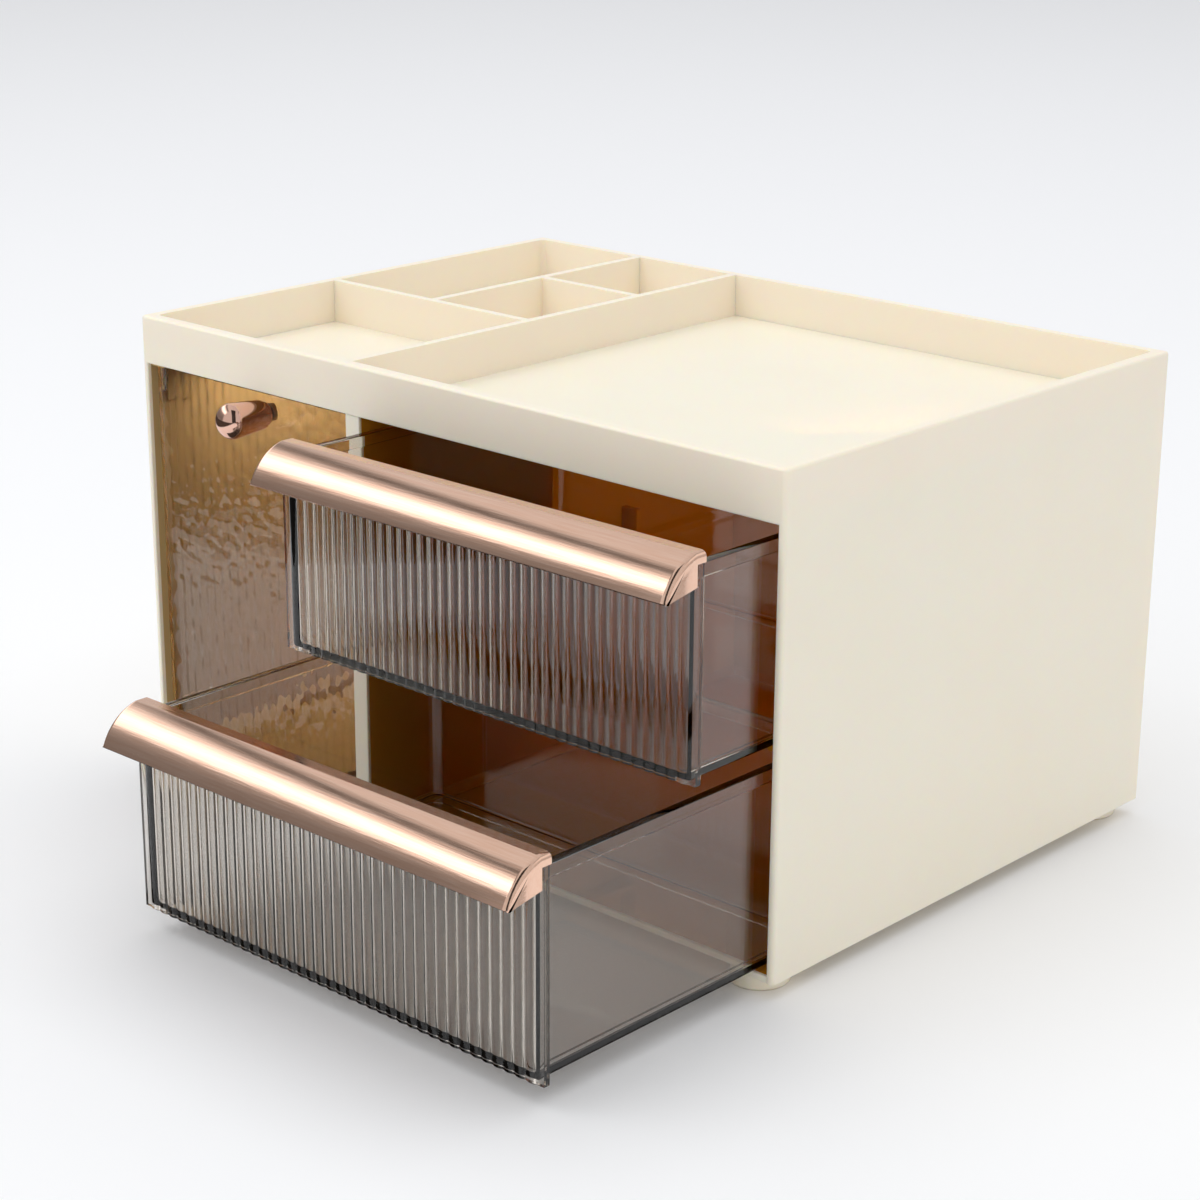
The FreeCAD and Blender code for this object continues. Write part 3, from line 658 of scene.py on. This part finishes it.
def white_paper():
    """Matt white paper, a little lighter near the camera, with dark parts that only reflections show: beyond
    its left edge, and under the part as a painted shade.
    """
    constants = {"Roughness": 0.9, "Specular IOR Level": 0.1}
    material, tree, shader, place = new_material("white_paper", constants)
    distance = add_node(tree, "ShaderNodeVectorMath", {0: place, 1: onward}, operation="DOT_PRODUCT")
    near, far = TABLE_FADE
    fade = add_node(
        tree, "ShaderNodeMapRange", {"Value": distance.outputs["Value"], "From Min": near, "From Max": far}
    )
    tones = {FIRST_COLOUR: linear(TABLE_NEAR), SECOND_COLOUR: linear(TABLE_FAR)}
    tint = add_node(tree, "ShaderNodeMix", {"Factor": fade.outputs[0], **tones}, data_type="RGBA")
    tree.links.new(tint.outputs[MIXED_COLOUR], shader.inputs["Base Color"])
    path = add_node(tree, "ShaderNodeLightPath")
    across = add_node(tree, "ShaderNodeVectorMath", {0: place, 1: sideways}, operation="DOT_PRODUCT")
    beyond = add_node(
        tree, "ShaderNodeMath", {0: across.outputs["Value"], 1: TABLE_EDGE}, operation="LESS_THAN"
    )
    past_edge = add_node(
        tree, "ShaderNodeMath", {0: beyond.outputs[0], 1: path.outputs["Is Glossy Ray"]}, operation="MULTIPLY"
    )
    # Under the part the table is painted dark for reflections: a painted shade where the part shades it.
    under = within_box(tree, place, *cad_box, "XY")
    painted_shade_under = add_node(
        tree, "ShaderNodeMath", {0: under, 1: path.outputs["Glossy Depth"]}, operation="MULTIPLY"
    )
    shown_dark = add_node(
        tree,
        "ShaderNodeMath",
        {0: past_edge.outputs[0], 1: painted_shade_under.outputs[0]},
        operation="MAXIMUM",
        use_clamp=True,
    )
    dark = add_node(tree, "ShaderNodeBsdfDiffuse", {"Color": linear(TABLE_DARK_AND_PAINTED_SHADE)})
    cover = add_node(
        tree, "ShaderNodeMixShader", {0: shown_dark.outputs[0], 1: shader.outputs[0], 2: dark.outputs[0]}
    )
    tree.links.new(cover.outputs[0], tree.nodes["Material Output"].inputs["Surface"])
    return material


mesh = bmesh.new()
bmesh.ops.create_grid(mesh, x_segments=1, y_segments=1, size=TABLE_HALF_WIDTH)
data = bpy.data.meshes.new("table_top")
mesh.to_mesh(data)
mesh.free()
data.materials.append(white_paper())
table_top = bpy.data.objects.new("table_top", data)
scene.collection.objects.link(table_top)

# Light box: a tunnel of white and dark panels along the line of sight, which reflections show, with two end
# walls and a dark upright slot where the camera looks in. The camera itself sees a pale backdrop. The levels
# go by degrees, from the right side at 0 over the top at 90 to the left side at 180.
BOX_LEVELS = (
    (0, 0.7), (22, 0.7), (30, 1.15), (48, 1.15), (54, 0.3), (58, 0.8), (90, 0.85), (117, 0.95), (124, 0.15),
    (128, 0.7), (134, 1.9), (139, 3.0), (147, 2.3), (153, 0.5), (163, 0.3), (180, 0.25),
)
# The end walls and the slot go by how far onward a direction points, from -1 towards the camera to 1 away.
END_LEVELS = ((-0.3, 0.85), (0.2, 0.8))
NEAR_WALL = (-0.2, -0.35)
FAR_WALL = (0.75, 0.92)
SLOT_HALF_WIDTH = 0.24
SLOT_START = -0.15
SLOT_LEVEL = 0.06
BOX_STRENGTH = 0.80

world = bpy.data.worlds.new("studio")
scene.world = world
world.use_nodes = True
tree = world.node_tree
path = add_node(tree, "ShaderNodeLightPath")
by_mirror = path.outputs["Is Glossy Ray"]
direction = add_node(tree, "ShaderNodeTexCoord").outputs["Generated"]
height = add_node(tree, "ShaderNodeSeparateXYZ", {0: direction}).outputs["Z"]
onwards, across = [
    add_node(tree, "ShaderNodeVectorMath", {0: direction, 1: axis}, operation="DOT_PRODUCT").outputs["Value"]
    for axis in (onward, sideways)
]

# Diffuse light comes evenly from both sides, so it uses the right half of the levels for both.
either_side = add_node(tree, "ShaderNodeMath", {0: across}, operation="ABSOLUTE").outputs[0]
reach = add_node(tree, "ShaderNodeMix", {0: by_mirror, 2: either_side, 3: across}, data_type="FLOAT")
angle = add_node(tree, "ShaderNodeMath", {0: height, 1: reach.outputs[0]}, operation="ARCTAN2").outputs[0]
half_turns = add_node(tree, "ShaderNodeMath", {0: angle, 1: pi}, operation="DIVIDE").outputs[0]
sides = add_node(tree, "ShaderNodeValToRGB", {"Fac": half_turns})
depth = add_node(tree, "ShaderNodeMapRange", {"Value": onwards, "From Min": -1.0}).outputs[0]
ends = add_node(tree, "ShaderNodeValToRGB", {"Fac": depth})
for ramp, levels, start, span in ((sides, BOX_LEVELS, 0, 180), (ends, END_LEVELS, -1, 2)):
    stops = ramp.color_ramp.elements
    for index, (position, level) in enumerate(levels):
        # A new ramp has two stops already.
        stop = stops[index] if index < 2 else stops.new(1.0)
        stop.position = (position - start) / span
        stop.color = (level, level, level, 1.0)
walls = [
    add_node(tree, "ShaderNodeMapRange", {"Value": onwards, "From Min": start, "From Max": end}).outputs[0]
    for start, end in (NEAR_WALL, FAR_WALL)
]
on_end = add_node(tree, "ShaderNodeMath", {0: walls[0], 1: walls[1]}, operation="MAXIMUM").outputs[0]
panels = {FIRST_COLOUR: sides.outputs["Color"], SECOND_COLOUR: ends.outputs["Color"]}
box = add_node(tree, "ShaderNodeMix", {"Factor": on_end, **panels}, data_type="RGBA")

near, narrow = [
    add_node(tree, "ShaderNodeMath", {0: place, 1: limit}, operation="LESS_THAN").outputs[0]
    for place, limit in ((onwards, SLOT_START), (either_side, SLOT_HALF_WIDTH))
]
in_slot = add_node(tree, "ShaderNodeMath", {0: near, 1: narrow}, operation="MULTIPLY").outputs[0]
slot_seen = add_node(tree, "ShaderNodeMath", {0: in_slot, 1: by_mirror}, operation="MULTIPLY").outputs[0]
slot_tones = {FIRST_COLOUR: box.outputs[MIXED_COLOUR], SECOND_COLOUR: [SLOT_LEVEL] * 3 + [1.0]}
lit = add_node(tree, "ShaderNodeMix", {"Factor": slot_seen, **slot_tones}, data_type="RGBA")

direct = {0: path.outputs["Is Camera Ray"], 1: path.outputs["Is Transmission Ray"]}
seen = add_node(tree, "ShaderNodeMath", direct, operation="MAXIMUM").outputs[0]
view_tones = {FIRST_COLOUR: lit.outputs[MIXED_COLOUR], SECOND_COLOUR: linear(TABLE_FAR)}
view = add_node(tree, "ShaderNodeMix", {"Factor": seen, **view_tones}, data_type="RGBA")
background = tree.nodes["Background"]
background.inputs["Strength"].default_value = BOX_STRENGTH
tree.links.new(view.outputs[MIXED_COLOUR], background.inputs["Color"])

# Lamps: a large softbox overhead and a small one at the front left light the part and give it its shadow. Two
# weak lamps inside the case stand for the light that comes in through its cream walls.
GLOW_SPREAD = radians(160)


def area_lamp(name, place, facing, width, height, power):
    """A rectangular lamp that lights the part and doesn't show in reflections."""
    light = bpy.data.lights.new(name, "AREA")
    light.shape = "RECTANGLE"
    light.size = width
    light.size_y = height
    light.energy = power
    lamp = bpy.data.objects.new(name, light)
    aim = Vector(facing).to_track_quat("-Z", "Y").to_matrix()
    lamp.matrix_world = Matrix.Translation(place) @ aim.to_4x4()
    lamp.visible_glossy = False
    scene.collection.objects.link(lamp)
    return lamp


area_lamp("overhead_softbox", place=(0, 0, 2.6), facing=(0, 0, -1), width=3.5, height=3.5, power=33.0)
area_lamp(
    "left_softbox", place=(-0.7, -1.3, 1.3), facing=(0.7, 1.3, -1.2), width=1.4, height=1.4, power=5.0
)
cabinet_glow = area_lamp(
    "cabinet_glow", place=(-0.118, 0, 0.1436), facing=(0, 0, -1), width=0.02, height=0.15, power=0.08
)
bay_glow = area_lamp(
    "drawer_bay_glow", place=(0.105, 0, 0.13), facing=(-0.75, 0.66, 0), width=0.06, height=0.02, power=0.058
)
for lamp, colour in ((cabinet_glow, "#FFF4E6"), (bay_glow, "#FFE6B0")):
    lamp.data.spread = GLOW_SPREAD
    lamp.data.color = linear(colour)[:3]
    lamp.visible_camera = False
    lamp.visible_transmission = False

# Camera: at the photograph's place, found by fitting a pinhole camera to the corners of the case. Light may
# bounce and pass often, because the drawers have many clear walls one behind the other.
CAMERA_PLACE = (0.5809, -0.6526, 0.3581)
ELEVATION = radians(18.40)
ROLL = radians(0.335)
FOCAL_PIXELS = 2703.4
PHOTO_WIDTH = 1200
SENSOR_WIDTH = 36.0

camera_data = bpy.data.cameras.new("camera")
camera_data.sensor_fit = "HORIZONTAL"
camera_data.sensor_width = SENSOR_WIDTH
camera_data.lens = FOCAL_PIXELS / PHOTO_WIDTH * SENSOR_WIDTH
camera_data.clip_end = 50.0
camera = bpy.data.objects.new("camera", camera_data)
backward = Vector((sin(AZIMUTH) * cos(ELEVATION), -cos(AZIMUTH) * cos(ELEVATION), sin(ELEVATION)))
turn = Matrix((sideways, backward.cross(sideways), backward)).transposed() @ Matrix.Rotation(ROLL, 3, "Z")
camera.matrix_world = Matrix.Translation(CAMERA_PLACE) @ turn.to_4x4()
scene.collection.objects.link(camera)
scene.camera = camera
scene.view_settings.view_transform = "Standard"
scene.cycles.diffuse_bounces = 10
scene.cycles.max_bounces = 24
scene.cycles.transmission_bounces = 16
